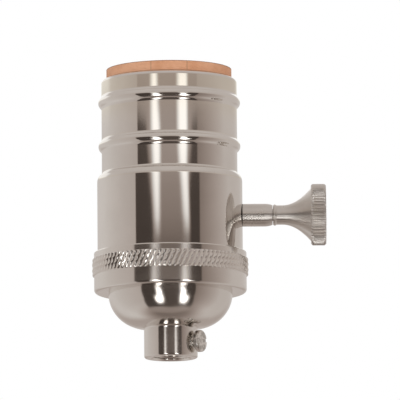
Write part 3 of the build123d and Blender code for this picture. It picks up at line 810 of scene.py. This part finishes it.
def knurled_cap(tree, metal, knurl_metal):
    """Turned cap: rounded neck, dome, drum and lip, with its rolled knurl and the nipple's thread."""
    lip_top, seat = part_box("cap")[1][2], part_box("outer_shell")[0][2]
    knurl_top = lip_top - lip_height
    knurl_low = knurl_top - knurl_width
    drum_low = knurl_low - drum_height
    neck_top = drum_low - dome_section
    bore = neck_thread_root + bore_gap
    neck_edge = neck_radius - neck_edge_round
    neck_foot = neck_radius + neck_foot_round
    drum_edge = drum_radius - drum_edge_round
    lip_edge = drum_radius - lip_round
    dome_inside = dome_section - dome_wall
    outline = [(bore, bore_chamfer), (bore + bore_chamfer, 0.0)]
    outline += arc((neck_edge, neck_edge_round), neck_edge_round, -90, 0)
    outline += arc((neck_foot, neck_top - neck_foot_round), neck_foot_round, 180, 90)
    outline += arc((neck_radius, drum_low), dome_section, dome_at_neck, 0, 28)
    outline += arc((drum_edge, drum_low + drum_edge_round), drum_edge_round, -90, 0)
    outline += arc((lip_edge, lip_top - lip_round), lip_round, 0, 90, 5)
    outline += [(seat_radius, lip_top), (seat_radius, seat), (neck_radius + dome_inside, seat)]
    outline += arc((neck_radius, drum_low), dome_inside, 0, -90, 14)
    outline.append((bore, neck_top + dome_wall))
    body = cut(turned(outline, 240), screw_hole())
    knurl = rolled_band(
        tree, knurl_metal, steps_round=8 * knurl_starts, steps_up=56, low=knurl_low, high=knurl_top,
        floor_radius=knurl_floor_radius, back_radius=drum_radius - knurl_sunk,
        starts=float(knurl_starts), depth=knurl_depth, cross_share=knurl_cross_share,
        turns=knurl_width * knurl_slant * knurl_starts / (2 * pi * drum_radius), steepness=1.0,
        fade=knurl_fade,
    )
    thread = rolled_band(
        tree, knurl_metal, steps_round=96, steps_up=236, low=neck_thread_low,
        high=neck_thread_low + neck_thread_length, floor_radius=neck_thread_root,
        back_radius=bore + neck_thread_sunk, depth=neck_thread_crest - neck_thread_root,
        turns=neck_thread_length / neck_thread_pitch, steepness=thread_steepness,
        fade=neck_thread_fade,
    )
    parts = [body, knurl, cut(thread, screw_hole())]
    piece("knurled_cap", parts, [metal, knurl_metal, knurl_metal], "socket", "cap")


def slotted_set_screw(tree, metal):
    """Round-head screw, slotted, with its thread and a cup at its tip."""
    back, face = screw_head_back, screw_head_back + screw_head_height
    edge = screw_head_radius - screw_head_round
    crown_low = face - screw_head_round - screw_head_crown
    tip = screw_tip + screw_tip_chamfer
    outline = [
        (0.0, screw_tip + screw_cup_depth), (screw_core_radius * 0.6, screw_tip),
        (screw_core_radius, tip), (screw_core_radius, back),
        (screw_head_radius - screw_head_chamfer, back),
        (screw_head_radius, back + screw_head_chamfer),
    ]
    outline += arc((edge, crown_low), screw_head_round, 0, 78)
    outline += [(edge * 0.7, face - screw_head_crown / 4), (edge * 0.35, face), (0.0, face)]
    slot = bmesh.new()
    bmesh.ops.create_cube(slot, size=1.0)
    slot_size = screw_slot_width, 3 * screw_head_radius, 2 * screw_slot_depth, 1.0
    slot.transform(Matrix.Diagonal(slot_size))
    slot.transform(Matrix.Rotation(radians(screw_turned), 4, "Z"))
    slot.transform(Matrix.Translation((0.0, 0.0, face)))
    screw = cut(turned(outline, 96), slot)
    thread = rolled_band(
        tree, metal, steps_round=48, steps_up=80, low=tip, high=back - 2 * screw_head_chamfer,
        floor_radius=screw_core_radius, back_radius=screw_core_radius * 0.9,
        depth=screw_thread_depth, turns=(back - screw_tip) / screw_pitch,
        steepness=thread_steepness, fade=screw_thread_fade,
    )
    for part in (screw, thread):
        part.transform(screw_axis())
    piece("slotted_set_screw", [screw, thread], [metal, metal], "clamping", "set_screw")


def knob_axis():
    """Turn that lays a shape made on Z along the knob's axis, from the knob's own start."""
    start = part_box("knob")[0][0], 0.0, middle_level("knob")
    return Matrix.Translation(start) @ Matrix.Rotation(pi / 2, 4, "Y")


def fluted_knob(tree, metal, flute_metal):
    """Turned knob: collar, slim neck, trumpet flare and a straight-fluted head."""
    low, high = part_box("knob")
    length = high[0] - low[0]
    head_radius = (high[2] - low[2]) / 2
    head_back = knob_flare_start + knob_flare_length
    outline = [(knob_stub_radius, 0.0)]
    for step in range(9):
        bulge = knob_collar_bulge * sin(pi * step / 8)
        outline.append((knob_neck_radius + bulge, knob_collar_width * step / 8))
    spread = knob_flare_radius - knob_neck_radius
    for step in range(21):
        share = step / 20
        radius = knob_neck_radius + spread * share**knob_flare_bend
        outline.append((radius, knob_flare_start + knob_flare_length * share))
    outline += [(knob_core_radius, head_back), (knob_core_radius, length), (0.0, length)]
    outline += [(0.0, knob_stub_depth), (knob_stub_radius, knob_stub_depth)]
    body = turned(outline, 180)
    flutes = rolled_band(
        tree, flute_metal, steps_round=12 * flute_count, steps_up=24, low=head_back, high=length,
        floor_radius=head_radius - flute_depth - flute_inset, back_radius=knob_core_radius,
        starts=float(flute_count), depth=flute_depth, steepness=flute_steepness, fade=flute_fade,
    )
    for part in (body, flutes):
        part.transform(knob_axis())
    piece("fluted_knob", [body, flutes], [metal, flute_metal], "turning", "knob")


def give(material, *names):
    """Puts a material on CAD nodes."""
    for name in names:
        node = nodes[name]
        if not node.material_slots:
            node.data.materials.append(None)
        for slot in node.material_slots:
            slot.material = material


def dress_cad_pieces():
    """Finish of the pieces that keep the solids' own meshes."""
    shell_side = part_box("outer_shell")[1][0]
    # Painted shade on the stem up to the shell's side, where it runs into its hole
    stem_nickel = nickel("stem_nickel", 0.3, line_axis="X", turned=1.0, painted_shade_until=shell_side)
    give(stem_nickel, "knob_stem")
    give(nickel("screw_nickel", 0.16), "neutral_terminal_screw")
    give(fibre(), "insulating_liner", "cap_liner", "shell_washer")
    give(phenolic(), "switch_body_lower", "switch_body_upper", "switch_rotor")
    give(
        brass(), "screw_shell", "body_rivets", "shell_rivets", "centre_contact", "line_terminal",
        "neutral_terminal", "line_terminal_screw", "line_blade", "centre_blade", "shaft_bushing",
        "bridge_contact",
    )
    give(steel(), "switch_shaft", "shaft_clip", "detent_spring")


def make_nickel_pieces():
    """Plated pieces, built over their solids with the real ones' rounds, threads and patterns."""
    tree = rolled_band_tree()
    beaded_shell(nickel("drawn_nickel"))
    turned_metal = nickel("turned_nickel", 0.14, turned=0.8)
    # The knurl's colour is painted brighter, as painted light
    knurl_metal = nickel("knurled_nickel", 0.2, painted_light_share=0.9)
    knurled_cap(tree, turned_metal, knurl_metal)
    slotted_set_screw(tree, nickel("set_screw_nickel", 0.24, worn=0.5))
    knob_metal = nickel("knob_nickel", 0.32, line_axis="X", turned=1.0)
    fluted_knob(tree, knob_metal, nickel("fluted_nickel", 0.26))


bpy.context.scene.view_settings.view_transform = "Standard"
place_camera()
white_world()
light_tent()
pale_floor()
for name, (place, watts) in soft_lamps.items():
    soft_lamp(name, place, watts)
dress_cad_pieces()
make_nickel_pieces()
